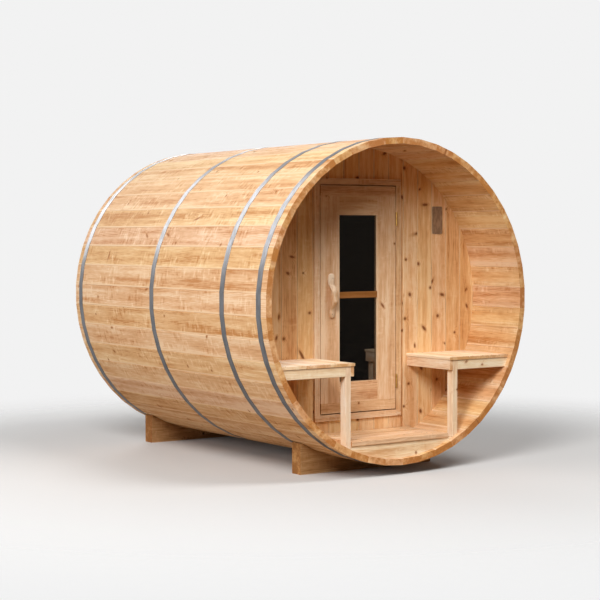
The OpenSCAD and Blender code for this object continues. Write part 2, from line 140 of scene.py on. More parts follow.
def blendColour(tree, factor, a, b, mode="MIX"):
    n = tree.nodes.new("ShaderNodeMix")
    n.data_type = "RGBA"
    n.blend_type = mode
    feed(tree, n.inputs[0], factor)
    feed(tree, n.inputs[6], a)
    feed(tree, n.inputs[7], b)
    return n.outputs[2]


def addBump(tree, shader, height, strength, distance):
    n = tree.nodes.new("ShaderNodeBump")
    n.inputs["Strength"].default_value = strength
    n.inputs["Distance"].default_value = distance
    feed(tree, n.inputs["Height"], height)
    feed(tree, shader.inputs["Normal"], n.outputs["Normal"])
    return n


def tone(red, green, blue):  # screen colour 0..255 as the linear colour that Blender's sockets take
    c = np.array([red, green, blue]) / 255
    return (*np.where(c > 0.04045, ((c + 0.055) / 1.055) ** 2.4, c / 12.92).tolist(), 1.0)


def newMaterial(name):
    m = bpy.data.materials.new(name)
    m.use_nodes = True
    return m, m.node_tree, m.node_tree.nodes["Principled BSDF"]


# Cedar board: growth rings run along the grain and bend round knots, pale and dark figure stands
# across it in patches, and every board has a tone of its own. The first two rows are noise rates,
# along and across the grain, per metre.
grain = {
    "dash": (16.0, 85.0), "wander": (1.6, 9.0), "streak": (2.2, 36.0), "fibre": (9.0, 420.0),
    "cloud": (4.0, 11.0), "broad": (0.5, 15.0), "stroke": (50.0, 18.0), "patch": (5.0, 9.0),
    "boardShift": (20.0, 3.0, 3.0), "patchShift": 4.0, "patchFrom": (0.42, 0.6),
    "paleStroke": (0.54, 0.74), "darkStroke": (0.46, 0.28), "fadeInShade": (0.4, 0.0, 0.1, 1.0),
    "ringsAcross": 105.0, "ringsDeep": 40.0, "ringWander": 8.0, "ringSwirl": 2.6,
    "ringDarkens": (0.3, 0.93), "ringStops": (1.0, 0.95),
    "endRings": 190.0, "endCloud": 1.5, "pithSide": 0.12, "pithDeep": 0.06, "pithSpread": 0.05,
    "arcDarkens": (0.2, 0.9), "arcStops": (1.0, 0.93),
}
# Knots: one cell in a few of a plane Voronoi pattern holds one, round or drawn out on a slant
knots = {"cellsPerMetre": 7.5, "slant": 3.0, "drawn": 3.2, "radius": 0.005, "bigger": 0.01, "ragged": 0.004,
         "edge": (1.1, 0.5), "barkEdge": (2.0, 0.95), "swirlFall": -22.0, "bark": 0.55, "dark": 0.85}
# What adds to a board's level, which runs from pale through honey to ruddy
levels = {"start": 0.39, "broad": 1.3, "streak": 1.5, "dash": 0.8, "cloud": 0.7, "ring": 0.3,
          "palePart": -0.4, "darkPart": 0.35, "swirl": 0.5, "swirlMiddle": -0.55,
          "endLow": 0.08, "endSpread": 0.6, "toHoney": (0.0, 0.55), "toRuddy": (0.5, 1.15)}
# Lean towards yellow or rose; a warm tint, which is painted shade on inner staves and the wall's top and the
# own colour of end grain; a painted highlight along board edges; and dark joints
tints = {"fine": 0.14, "leanSpread": 0.3, "leanLow": -0.17, "leanGreen": -0.12, "shadeAndEndWarm": (1.0, 0.88, 0.7, 1.0),
         "endWarm": 0.75, "figurePale": 0.3, "edgeHighlight": (0.009, 0.003), "highlightPatches": (0.2, 0.5),
         "joint": (0.004, 0.001), "jointPatches": (0.35, 0.7), "jointDepth": (0.08, 0.55)}
# Roughness and height, with what each mark adds
surface = {"rough": 0.5, "roughFibre": 0.16, "roughRing": -0.06, "roughEnd": 0.15,
           "highRing": 0.5, "highFibre": 0.8, "highKnot": -0.4}


def makeCedarGroup():
    tree = bpy.data.node_groups.new("cedarBoard", "ShaderNodeTree")
    for name in ("Along", "Across", "Depth", "Board", "End", "Rim", "Seam", "Edge", "Knots",
                 "Figure", "Spread", "Lean", "Warm"):
        tree.interface.new_socket(name, in_out="INPUT", socket_type="NodeSocketFloat")
    for name in ("Pale", "Honey", "Ruddy", "Knot"):
        tree.interface.new_socket(name, in_out="INPUT", socket_type="NodeSocketColor")
    for name, kind in (("Color", "Color"), ("Roughness", "Float"), ("Height", "Float")):
        tree.interface.new_socket(name, in_out="OUTPUT", socket_type="NodeSocket" + kind)
    inn = tree.nodes.new("NodeGroupInput").outputs
    out = tree.nodes.new("NodeGroupOutput").inputs

    boardTone, (r1, r2, r3) = chance(tree, inn["Board"])
    along, across, depth = [total(tree, inn[name], times(tree, r, shift)) for name, r, shift
                            in zip(("Along", "Across", "Depth"), (r1, r2, r3), grain["boardShift"])]

    def pattern(name, detail, shift=0.0):
        lengthwise, crosswise = grain[name]
        return noise(tree, (along, across, depth), (lengthwise, crosswise, crosswise), detail, shift)

    def around(value, weight, middle=-0.5):
        return times(tree, total(tree, value, middle), weight)

    dash = pattern("dash", 2.0)
    cells = tree.nodes.new("ShaderNodeTexVoronoi")
    cells.voronoi_dimensions = "2D"
    cells.inputs["Scale"].default_value = knots["cellsPerMetre"]
    feed(tree, cells.inputs["Vector"], joinXyz(tree, along, across))
    k1, k2, k3 = splitXyz(tree, cells.outputs["Color"])
    far = cells.outputs["Distance"]
    has = calc(tree, "LESS_THAN", k1, inn["Knots"])
    cx, cy = splitXyz(tree, cells.outputs["Position"])[:2]
    dx, dy = less(tree, along, cx), less(tree, across, cy)
    slant = around(k3, knots["slant"])
    sine, cosine = calc(tree, "SINE", slant), calc(tree, "COSINE", slant)
    drawn = total(tree, 1.0, times(tree, k2, k2, k2, knots["drawn"]))
    du = calc(tree, "DIVIDE", total(tree, times(tree, dx, sine), times(tree, dy, cosine)), drawn)
    dv = less(tree, times(tree, dx, cosine), times(tree, dy, sine))
    ragged = times(tree, dash, knots["ragged"])
    radius = total(tree, knots["radius"], times(tree, k1, knots["bigger"]), ragged)
    off = calc(tree, "DIVIDE", length(tree, du, dv), radius)  # 1 at the knot's radius
    knot = times(tree, has, ease(tree, off, *knots["edge"]))
    bark = times(tree, has, ease(tree, off, *knots["barkEdge"]))
    swirl = times(tree, has, calc(tree, "EXPONENT", times(tree, far, far, knots["swirlFall"])))

    # rings: a slowly wandering phase across the board, pale then darkening to a sharp dark line
    wander = pattern("wander", 2.0)
    phase = total(tree, times(tree, across, grain["ringsAcross"]), times(tree, depth, grain["ringsDeep"]),
                  times(tree, wander, grain["ringWander"]), times(tree, swirl, grain["ringSwirl"]))
    part = calc(tree, "FRACT", phase)
    late = times(tree, ease(tree, part, *grain["ringDarkens"]), ease(tree, part, *grain["ringStops"]))
    streak, fibre = pattern("streak", 3.0), pattern("fibre", 2.0)
    cloud, broad = pattern("cloud", 2.0), pattern("broad", 1.0)

    # figure: pale and dark strokes across the grain, gathered in patches, faint where shade is painted in
    stroke = pattern("stroke", 1.5)
    patch = ease(tree, pattern("patch", 1.0, grain["patchShift"]), *grain["patchFrom"])
    patch = times(tree, patch, inn["Figure"], ease(tree, inn["Warm"], *grain["fadeInShade"]))
    palePart = times(tree, ease(tree, stroke, *grain["paleStroke"]), patch)
    darkPart = times(tree, ease(tree, stroke, *grain["darkStroke"]), patch)

    # end grain: ring arcs round a pith below the board
    face = less(tree, 1.0, inn["End"])
    ex = total(tree, inn["Across"], around(r2, grain["pithSide"]))
    ez = total(tree, inn["Depth"], grain["pithDeep"], times(tree, r3, grain["pithSpread"]))
    arcs = times(tree, length(tree, ex, ez), grain["endRings"])
    arc = calc(tree, "FRACT", total(tree, arcs, times(tree, cloud, grain["endCloud"])))
    arc = times(tree, ease(tree, arc, *grain["arcDarkens"]), ease(tree, arc, *grain["arcStops"]))
    ringMark = total(tree, times(tree, late, face), times(tree, arc, inn["End"]))

    endTone = total(tree, levels["endLow"], times(tree, r2, levels["endSpread"]))
    level = total(tree, levels["start"],
                  around(boardTone, inn["Spread"]),
                  around(broad, levels["broad"]),
                  around(streak, levels["streak"]),
                  around(dash, levels["dash"]),
                  around(cloud, levels["cloud"]),
                  times(tree, ringMark, levels["ring"]),
                  times(tree, palePart, levels["palePart"]),
                  times(tree, darkPart, levels["darkPart"]),
                  times(tree, swirl, around(k3, levels["swirl"], levels["swirlMiddle"])),
                  times(tree, inn["End"], endTone))
    wood = blendColour(tree, ease(tree, level, *levels["toHoney"]), inn["Pale"], inn["Honey"])
    wood = blendColour(tree, ease(tree, level, *levels["toRuddy"]), wood, inn["Ruddy"])

    # boards lean towards yellow or rose, and fibres vary them finely
    fine = total(tree, 1.0 - tints["fine"] / 2, times(tree, fibre, tints["fine"]))
    lean = times(tree, total(tree, times(tree, r3, tints["leanSpread"]), tints["leanLow"]), inn["Lean"])
    green = total(tree, fine, times(tree, lean, tints["leanGreen"]))
    wood = blendColour(tree, 1.0, wood, joinXyz(tree, fine, green, total(tree, fine, lean)), "MULTIPLY")
    # painted shade: the warm tint deepens wood that stands in shade, the inner staves and the wall's top, and
    # it also warms end grain, whose own colour it is
    shadeAndEndWarmth = calc(tree, "MAXIMUM", inn["Warm"], times(tree, inn["End"], tints["endWarm"]))
    wood = blendColour(tree, shadeAndEndWarmth, wood, blendColour(tree, 1.0, wood, tints["shadeAndEndWarm"], "MULTIPLY"))

    # painted highlight: board edges are paler, as if their bevels caught the light, and joints between boards
    # are dark in places
    edgeHighlight = times(tree, ease(tree, inn["Rim"], *tints["edgeHighlight"]), inn["Edge"],
                ease(tree, cloud, *tints["highlightPatches"]), face)
    wood = blendColour(tree, edgeHighlight, wood, inn["Pale"])
    wood = blendColour(tree, times(tree, palePart, tints["figurePale"]), wood, inn["Pale"])
    gap = times(tree, ease(tree, inn["Seam"], *tints["joint"]),
                ease(tree, cloud, *tints["jointPatches"], *tints["jointDepth"]), face)
    wood = blendColour(tree, gap, wood, inn["Knot"])
    wood = blendColour(tree, times(tree, bark, knots["bark"]), wood, inn["Ruddy"])
    wood = blendColour(tree, times(tree, knot, knots["dark"]), wood, inn["Knot"])
    feed(tree, out["Color"], wood)
    rough = total(tree, surface["rough"], times(tree, fibre, surface["roughFibre"]),
                  times(tree, ringMark, surface["roughRing"]), times(tree, inn["End"], surface["roughEnd"]))
    feed(tree, out["Roughness"], rough)
    height = total(tree, times(tree, ringMark, surface["highRing"]), times(tree, fibre, surface["highFibre"]),
                   times(tree, knot, surface["highKnot"]))
    feed(tree, out["Height"], height)
    return tree


cedarGroup = makeCedarGroup()

# Each palette runs pale, honey, ruddy, knot
cedar = {
    "stave": ((234, 203, 166), (218, 175, 132), (186, 129, 79), (150, 92, 50)),
    # the wall's palette is more saturated than the staves', painted warm shade for boards inside the porch
    "wall": ((243, 209, 165), (228, 179, 127), (192, 130, 79), (112, 60, 30)),
    "trim": ((241, 214, 182), (227, 188, 147), (196, 144, 100), (132, 78, 44)),
    "bench": ((249, 233, 211), (240, 213, 180), (214, 170, 128), (148, 94, 56)),
    # the door's palette is a little darker than the trim's, painted shade for the door deep in the porch
    "door": ((237, 207, 171), (222, 180, 137), (191, 138, 94), (130, 76, 42)),
    # the glazing bars' palette is darker, painted shade for bars sunk in the pane's recess
    "bars": ((164, 113, 65), (141, 91, 47), (116, 71, 36), (90, 50, 25)),
    "cradle": ((205, 170, 130), (180, 138, 96), (140, 98, 62), (96, 56, 30)),
}
planed = {"sheen": 0.05, "bump": 0.35, "bumpDepth": 0.0012}  # bare wood has little sheen


def finishCedar(name, colours, coords, finish):
    m, tree, shader = newMaterial(name)
    g = tree.nodes.new("ShaderNodeGroup")
    g.node_tree = cedarGroup
    for key, value in zip(("Along", "Across", "Depth", "Board", "End", "Rim", "Seam", "Warm"),
                          coords(tree, *objectXyz(tree))):
        feed(tree, g.inputs[key], value)
    for key in ("edge", "knots", "figure", "spread", "lean"):
        g.inputs[key.capitalize()].default_value = finish[key]
    for key, colour in zip(("Pale", "Honey", "Ruddy", "Knot"), colours):
        g.inputs[key].default_value = tone(*colour)
    feed(tree, shader.inputs["Base Color"], g.outputs["Color"])
    feed(tree, shader.inputs["Roughness"], g.outputs["Roughness"])
    shader.inputs["Specular IOR Level"].default_value = planed["sheen"]
    addBump(tree, shader, g.outputs["Height"], planed["bump"], planed["bumpDepth"])
    return m


def dress(node, material):
    mesh = cad[node].data
    mesh.materials.clear()
    mesh.materials.append(material)


# Board number along a row of boards of one pitch, and the place across the board from its middle.
# A factor just under 1 keeps the far face on the last board.
def countBoards(tree, turn, pitch, factor=None):
    board = calc(tree, "FLOOR", times(tree, turn, factor) if factor else turn)
    return board, times(tree, total(tree, less(tree, turn, board), -0.5), pitch)


# Staves: the board number and the place across it come from the angle round the barrel's axis
barrel = {"axisZ": 1.038, "staves": 46, "radius": 0.957, "halfLength": 1.179, "innerFace": 0.0188,
          "endSkin": 0.0008, "highlightWide": 0.6, "edge": 1.0, "knots": 0.1, "figure": 1.0, "spread": 0.3,
          "lean": 0.6, "shadeAndEndWarm": 0.44, "seed": 37.0}


def staveCoords(tree, x, y, z):
    up = total(tree, z, -barrel["axisZ"])
    step = 2 * math.pi / barrel["staves"]
    half = step * barrel["radius"] / 2
    turn = calc(tree, "DIVIDE", calc(tree, "ARCTAN2", x, up), step)
    board, across = countBoards(tree, turn, step * barrel["radius"])
    out = length(tree, x, up)
    end = calc(tree, "GREATER_THAN", calc(tree, "ABSOLUTE", y), barrel["halfLength"] - barrel["endSkin"])
    inner = calc(tree, "LESS_THAN", out, barrel["radius"] - barrel["innerFace"])
    lower = less(tree, half, times(tree, across, calc(tree, "SIGN", x)))  # from the stave's lower edge
    # the painted highlight runs along the stave's lower edge, as if its bevel caught the light
    rim = times(tree, lower, barrel["highlightWide"])
    # dark joints show on the inside alone
    seam = total(tree, half, times(tree, calc(tree, "ABSOLUTE", across), -1.0), less(tree, 1.0, inner))
    number = total(tree, calc(tree, "FLOORED_MODULO", board, barrel["staves"]), barrel["seed"])
    depth = total(tree, out, -barrel["radius"])
    # painted shade: the inner faces take the warm tint, as if in the barrel's warm shade
    return y, across, depth, number, end, rim, seam, times(tree, inner, barrel["shadeAndEndWarm"])


staveWood = finishCedar("staveCedar", cedar["stave"], staveCoords, barrel)
for node in cad:
    if node.endswith("_staves"):
        dress(node, staveWood)

# End walls: upright boards counted across the barrel
wall = {"joint": 0.012, "pitch": 0.116, "edge": 0.7, "knots": 0.5, "figure": 0.3, "spread": 0.42,
        "lean": 0.35, "seed": 121.0, "backSeed": 40.0, "shadeAndEndWarm": 0.8, "shadeHeights": (1.6, 1.76)}


def wallCoords(tree, x, y, z):
    turn = calc(tree, "DIVIDE", total(tree, x, -wall["joint"]), wall["pitch"])
    board, across = countBoards(tree, turn, wall["pitch"])
    back = times(tree, calc(tree, "GREATER_THAN", y, 0.0), wall["backSeed"])
    rim = less(tree, wall["pitch"] / 2, calc(tree, "ABSOLUTE", across))
    shadeAndEndWarm = ease(tree, z, *wall["shadeHeights"], 0.0, wall["shadeAndEndWarm"])  # painted shade: the top of the wall takes the warm tint, as if in the crown's shadow
    return z, across, y, total(tree, board, wall["seed"], back), 0.0, rim, rim, shadeAndEndWarm


wallWood = finishCedar("wallCedar", cedar["wall"], wallCoords, wall)
for node in ("front_wall_left", "front_wall_right", "front_wall_header", "front_wall_foot", "back_wall"):
    dress(node, wallWood)

# Single timbers: grain axis, axis across the face, boards side by side, first board's number
timbers = {
    "frame_left_jamb": ("z", "x", 1, 201), "frame_right_jamb": ("z", "x", 1, 202),
    "frame_head": ("x", "z", 1, 203), "frame_sill": ("x", "z", 1, 204),
    "door_left_stile": ("z", "x", 1, 211), "door_right_stile": ("z", "x", 1, 212),
    "door_cap_rails": ("x", "z", 2, 213), "door_upper_rail": ("x", "z", 1, 216),
    "door_lower_rail": ("x", "z", 1, 217), "door_glazing_bars": ("x", "z", 1, 218),
    "left_seat": ("y", "x", 3, 221), "left_leg": ("z", "x", 1, 225),
    "left_side_rail": ("y", "z", 1, 226), "left_front_rail": ("x", "z", 1, 227),
    "right_seat": ("y", "x", 3, 231), "right_leg": ("z", "x", 1, 235),
    "right_side_rail": ("y", "z", 1, 236), "right_front_rail": ("x", "z", 1, 237),
    "seat_cleats": ("x", "z", 1, 238), "porch_deck": ("x", "y", 4, 241), "porch_skirt": ("x", "z", 1, 246),
    "cabin_floor": ("y", "x", 6, 251), "floor_bearers": ("x", "z", 1, 258), "door_handle": ("z", "x", 1, 219),
    "front_cradle": ("x", "z", 1, 261), "rear_cradle": ("x", "z", 1, 262),
}
timberFinish = {"edge": 0.35, "knots": 0.16, "figure": 0.4, "spread": 0.36, "lean": 0.35,
                "endSkin": 0.0006, "noSeam": 1.0, "countFactor": 0.9999}


def timberColours(node):
    if node.endswith("cradle"):
        return cedar["cradle"]
    if node.startswith(("left_", "right_", "seat_", "porch_skirt")):
        return cedar["bench"]
    if node == "door_glazing_bars":
        return cedar["bars"]
    return cedar["door" if node.startswith("door") else "trim"]


def timberCoords(node):
    along, side, boards, number = timbers[node]
    low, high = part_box(node)
    g, f = "xyz".index(along), "xyz".index(side)
    d = 3 - g - f
    pitch = (high[f] - low[f]) / boards

    def coords(tree, *position):
        turn = times(tree, total(tree, position[f], -low[f]), 1 / pitch)
        board, across = countBoards(tree, turn, pitch, timberFinish["countFactor"])
        off = calc(tree, "ABSOLUTE", total(tree, position[g], -(low[g] + high[g]) / 2))
        end = calc(tree, "GREATER_THAN", off, (high[g] - low[g]) / 2 - timberFinish["endSkin"])
        rim = less(tree, pitch / 2, calc(tree, "ABSOLUTE", across))
        serial = total(tree, board, float(number))
        return position[g], across, position[d], serial, end, rim, timberFinish["noSeam"], 0.0

    return coords


for node in timbers:
    dress(node, finishCedar(node + "Cedar", timberColours(node), timberCoords(node), timberFinish))
print("dressed the cedar")

# Rolled steel: fine lines round the barrel and faint marks; its colours are darker than bare steel, painted
# dark reflection of the surroundings
steel = {"bright": (114, 114, 117), "dull": (97, 97, 99), "lines": (3.0, 900.0), "marks": (14.0, 30.0, 14.0),
         "worn": (0.35, 0.7), "roughness": 0.28, "roughLines": 0.12, "roughMarks": 0.1,
         "bump": 0.15, "bumpDepth": 0.0004, "facesOut": 0.99}


def makeSteel():
    m, tree, shader = newMaterial("hoopSteel")
    x, y, z = objectXyz(tree)
    up = total(tree, z, -barrel["axisZ"])
    lines = noise(tree, (calc(tree, "ARCTAN2", x, up), y), steel["lines"], 2.0)
    marks = noise(tree, (x, y, z), steel["marks"], 3.0)
    worn = ease(tree, marks, *steel["worn"])
    colour = blendColour(tree, worn, tone(*steel["bright"]), tone(*steel["dull"]))
    feed(tree, shader.inputs["Base Color"], colour)
    rough = total(tree, steel["roughness"], times(tree, lines, steel["roughLines"]),
                  times(tree, marks, steel["roughMarks"]))
    feed(tree, shader.inputs["Roughness"], rough)
    shader.inputs["Metallic"].default_value = 1.0
    bump = addBump(tree, shader, lines, steel["bump"], steel["bumpDepth"])
    # the band bends smoothly over the flat staves: its outer face takes the direction away from the axis
    outward = vectorMath(tree, "NORMALIZE", joinXyz(tree, x, 0.0, up))
    flat = tree.nodes.new("ShaderNodeNewGeometry").outputs["Normal"]
    band = calc(tree, "GREATER_THAN", vectorMath(tree, "DOT_PRODUCT", outward, flat), steel["facesOut"])
    n = tree.nodes.new("ShaderNodeMix")
    n.data_type = "VECTOR"
    for target, value in zip((n.inputs[0], n.inputs[4], n.inputs[5]), (band, flat, outward)):
        feed(tree, target, value)
    feed(tree, bump.inputs["Normal"], n.outputs[1])
    return m


hoopSteel = makeSteel()
for node in ("porch_hoop", "wall_hoop", "middle_hoop", "rear_hoop"):
    dress(node, hoopSteel)

brass = {"bright": (204, 164, 92), "dull": (150, 106, 52), "marks": (90.0, 90.0, 40.0),
         "worn": (0.3, 0.75), "roughness": 0.26, "roughMarks": 0.2}


def makeBrass():
    m, tree, shader = newMaterial("hingeBrass")
    marks = noise(tree, objectXyz(tree), brass["marks"], 3.0)
    worn = ease(tree, marks, *brass["worn"])
    colour = blendColour(tree, worn, tone(*brass["bright"]), tone(*brass["dull"]))
    feed(tree, shader.inputs["Base Color"], colour)
    rough = total(tree, brass["roughness"], times(tree, marks, brass["roughMarks"]))
    feed(tree, shader.inputs["Roughness"], rough)
    shader.inputs["Metallic"].default_value = 1.0
    return m


hingeBrass = makeBrass()
dress("door_hinge_leaves", hingeBrass)
dress("frame_hinge_leaves", hingeBrass)

# Tinted glass with a faint unevenness from wiping
pane = {"tint": (66, 56, 46), "ior": 2.0, "wiped": (9.0, 9.0, 5.0), "hazeFrom": (0.4, 0.8), "haze": 0.05}


def makeGlass():
    m, tree, shader = newMaterial("doorGlass")
    wiped = noise(tree, objectXyz(tree), pane["wiped"], 3.0)
    feed(tree, shader.inputs["Roughness"], times(tree, ease(tree, wiped, *pane["hazeFrom"]), pane["haze"]))
    shader.inputs["Base Color"].default_value = tone(*pane["tint"])
    shader.inputs["Transmission Weight"].default_value = 1.0
    shader.inputs["IOR"].default_value = pane["ior"]
    return m


dress("door_glass", makeGlass())
print("dressed metal and glass")


# Points as closed meshes: rings[..., i, j] runs round ring i, and each end ring is capped
def ringPiece(name, rings, material, body):
    n, m = rings.shape[-3:-1]
    i, j = np.meshgrid(np.arange(n - 1), np.arange(m), indexing="ij")
    k = (j + 1) % m
    quads = np.stack([i * m + j, i * m + k, (i + 1) * m + k, (i + 1) * m + j], -1).reshape(-1, 4)
    copies = rings.reshape(-1, n * m, 3)
    faces = []
    for first in range(0, len(copies) * n * m, n * m):
        faces += (quads + first).tolist()
        faces += [(np.arange(m)[::-1] + first).tolist(), (np.arange(m) + first + (n - 1) * m).tolist()]
    mesh = bpy.data.meshes.new(name)
    mesh.from_pydata(copies.reshape(-1, 3).tolist(), [], faces)
    mesh.shade_smooth()
    mesh.materials.append(material)
    piece = bpy.data.objects.new(name, mesh)
    scene.collection.objects.link(piece)
    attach(piece, body)
    return piece


def rise(t, start, stop):
    u = np.clip((t - start) / (stop - start), 0, 1)
    return u * u * (3 - 2 * u)


# Driftwood handle: a bent branch with a flattened foot at each end. Ring t, angle a:
# centre (middle + sway, face - lift, z) + (wide cos a, deep sin a)(1 + gnarl), kept out of the door.
# Each wave of the gnarl has a count round, a rate along, a share and a phase; each burl a place along,
# an angle and a size.
handle = {
    "rings": 140, "sides": 64, "footWide": 0.0215, "gripWide": 0.0192, "wideFrom": (0.0, 0.7),
    "topWide": 0.003, "topFrom": (0.75, 0.95), "footDeep": 0.012, "gripDeep": 0.0152, "deepFrom": (0.0, 0.6),
    "bed": 0.006, "lift": 0.0465, "leaves": (0.13, 0.4), "returns": (0.2, 0.42),
    "sway": 0.0045, "swayTurns": 5.2, "swayStart": 0.5, "blunt": 14, "tipReach": 1.0005,
    "gnarl": 0.05, "gnarlFrom": (0.0, 0.2),
    "waves": ((3, 7, 1.0, 0.0), (2, -11, 0.8, 1.1), (7, 23, 0.5, 0.0), (11, -41, 0.35, 0.0)),
    "burls": ((0.36, -2.1, 0.2), (0.67, -0.7, 0.24), (0.53, 2.6, 0.15)), "burlLong": 0.03, "burlRound": 0.55,
    "pale": (236, 214, 188), "mid": (205, 165, 124), "dark": (140, 96, 62), "paleTop": (0.11, 0.05),
    "topPale": 0.6, "patchPale": (0.35, 0.65, 0.0, 0.55), "crackFrom": (0.38, 0.27), "crackDark": 0.8,
    "grain": (260.0, 260.0, 16.0), "patch": (40.0, 40.0, 18.0), "roughness": 0.5, "roughGrain": 0.2,
    "bump": 0.5, "bumpDepth": 0.001,
    "screwRadius": 0.0042, "screwHeight": 0.0012, "screwOut": 0.0172, "lowScrew": (-0.002, 0.026),
    "highScrew": (-0.001, 0.03),
}
handleLow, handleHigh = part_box("door_handle")


def makeDriftwood():
    m, tree, shader = newMaterial("driftwood")
    x, y, z = objectXyz(tree)
    fibres = noise(tree, (x, y, z), handle["grain"], 3.0)
    patch = noise(tree, (x, y, z), handle["patch"], 2.0)
    upper = ease(tree, z, *[handleHigh[2] - below for below in handle["paleTop"]])
    paler = total(tree, ease(tree, patch, *handle["patchPale"]), times(tree, upper, handle["topPale"]))
    worn = blendColour(tree, paler, tone(*handle["mid"]), tone(*handle["pale"]))
    crack = times(tree, ease(tree, fibres, *handle["crackFrom"]), handle["crackDark"])
    feed(tree, shader.inputs["Base Color"], blendColour(tree, crack, worn, tone(*handle["dark"])))
    rough = total(tree, handle["roughness"], times(tree, fibres, handle["roughGrain"]))
    feed(tree, shader.inputs["Roughness"], rough)
    addBump(tree, shader, fibres, handle["bump"], handle["bumpDepth"])
    return m


def makeHandle():
    low, high = handleLow, handleHigh
    face = high[1]
    s = np.linspace(0, 1, handle["rings"])[:, None]
    t = (1 - np.cos(math.pi * s)) / 2
    a = np.linspace(0, 2 * math.pi, handle["sides"], endpoint=False)[None, :]
    out = rise(t, *handle["leaves"]) * rise(1 - t, *handle["returns"])
    tip = np.sqrt(np.clip(1 - (np.abs(2 * t - 1) / handle["tipReach"]) ** handle["blunt"], 0, 1))
    wide = handle["footWide"] + (handle["gripWide"] - handle["footWide"]) * rise(out, *handle["wideFrom"])
    wide = tip * (wide + handle["topWide"] * rise(t, *handle["topFrom"]))
    deep = handle["footDeep"] + (handle["gripDeep"] - handle["footDeep"]) * rise(out, *handle["deepFrom"])
    deep = tip * deep
    waves = sum(share * np.sin(turns * a + along * t + start)
                for turns, along, share, start in handle["waves"])
    gnarl = handle["gnarl"] * waves * rise(1 - np.abs(2 * t - 1), *handle["gnarlFrom"])
    for spot, turn, size in handle["burls"]:
        lengthwise = (t - spot) / handle["burlLong"]
        sideways = np.sin((a - turn) / 2) * 2 / handle["burlRound"]
        gnarl = gnarl + size * np.exp(-lengthwise ** 2 - sideways ** 2)
    sway = handle["sway"] * np.sin(handle["swayTurns"] * t + handle["swayStart"])
    x = (low[0] + high[0]) / 2 + sway + wide * np.cos(a) * (1 + gnarl)
    y = face - handle["bed"] - (handle["lift"] - handle["gripDeep"]) * out + deep * np.sin(a) * (1 + gnarl)
    z = low[2] + t * (high[2] - low[2]) + 0 * a
    rings = np.stack([x, np.minimum(y, face), z], -1)
    piece = ringPiece("driftwoodHandle", rings, makeDriftwood(), "door")
    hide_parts("door_handle")


makeHandle()

# Screws: a head turned from the profile radii, heights, with a cross-shaped recess in its inner rings
screws = {"sides": 24, "recess": 0.42, "recessFrom": 5, "colour": (132, 124, 112),
          "marks": (300.0, 300.0, 300.0), "roughness": 0.3, "roughMarks": 0.2,
          "radii": (1.0, 1.0, 0.93, 0.8, 0.55, 0.42, 0.3, 0.06),
          "heights": (-0.4, 0.55, 0.85, 0.97, 1.0, 0.9, 0.2, 0.15)}


def makeScrewSteel():
    m, tree, shader = newMaterial("screwSteel")
    marks = noise(tree, objectXyz(tree), screws["marks"], 2.0)
    rough = total(tree, screws["roughness"], times(tree, marks, screws["roughMarks"]))
    feed(tree, shader.inputs["Roughness"], rough)
    shader.inputs["Base Color"].default_value = tone(*screws["colour"])
    shader.inputs["Metallic"].default_value = 1.0
    return m


screwSteel = makeScrewSteel()


def setScrews(name, places, axis, radius, height, body):
    a = np.linspace(0, 2 * math.pi, screws["sides"], endpoint=False)[None, :]
    r = np.array(screws["radii"])[:, None] * radius
    h = np.array(screws["heights"])[:, None] * height
    inner = np.arange(len(screws["radii"]))[:, None] >= screws["recessFrom"]
    cross = 1 - screws["recess"] * np.abs(np.sin(2 * a)) * inner
    out = np.array(axis, float)
    side = np.array([1.0, 0, 0])
    other = np.cross(out, side)
    one = ((r * cross * np.cos(a))[..., None] * side + (r * cross * np.sin(a))[..., None] * other
           + (h + 0 * a)[..., None] * out)
    ringPiece(name, np.array(places)[:, None, None, :] + one, screwSteel, body)


middle = (handleLow[0] + handleHigh[0]) / 2
screwY = handleHigh[1] - handle["screwOut"]
setScrews("handleScrews", [(middle + handle["lowScrew"][0], screwY, handleLow[2] + handle["lowScrew"][1]),
                           (middle + handle["highScrew"][0], screwY, handleHigh[2] - handle["highScrew"][1])],
          (0, -1, 0), handle["screwRadius"], handle["screwHeight"], "door")

# Bare sign plate on the front wall: a rounded slab, rings of a superellipse |x/w|^n + |z/h|^n = 1,
# each with an inset from the edge and a share of the thickness
sign = {"x": (0.594, 0.677), "z": (1.440, 1.616), "thick": 0.004, "power": 14.0, "sides": 160, "face": -0.726,
        "insets": (0.0, 0.0, 0.0004, 0.0013, 0.004, 0.0048, 0.0056, 0.03),
        "shares": (0.0, 0.72, 0.92, 1.0, 1.0, 0.9, 0.86, 0.86),
        "colour": (156, 127, 102), "worn": (130, 103, 80), "wear": (60.0, 60.0, 25.0),
        "wornFrom": (0.35, 0.65), "roughness": 0.4, "roughWear": 0.2,
        "screwInset": 0.011, "screwRadius": 0.003, "screwHeight": 0.001}


def makeSignMetal():
    m, tree, shader = newMaterial("signPlate")
    wear = noise(tree, objectXyz(tree), sign["wear"], 3.0)
    worn = ease(tree, wear, *sign["wornFrom"])
    colour = blendColour(tree, worn, tone(*sign["colour"]), tone(*sign["worn"]))
    feed(tree, shader.inputs["Base Color"], colour)
    rough = total(tree, sign["roughness"], times(tree, wear, sign["roughWear"]))
    feed(tree, shader.inputs["Roughness"], rough)
    return m


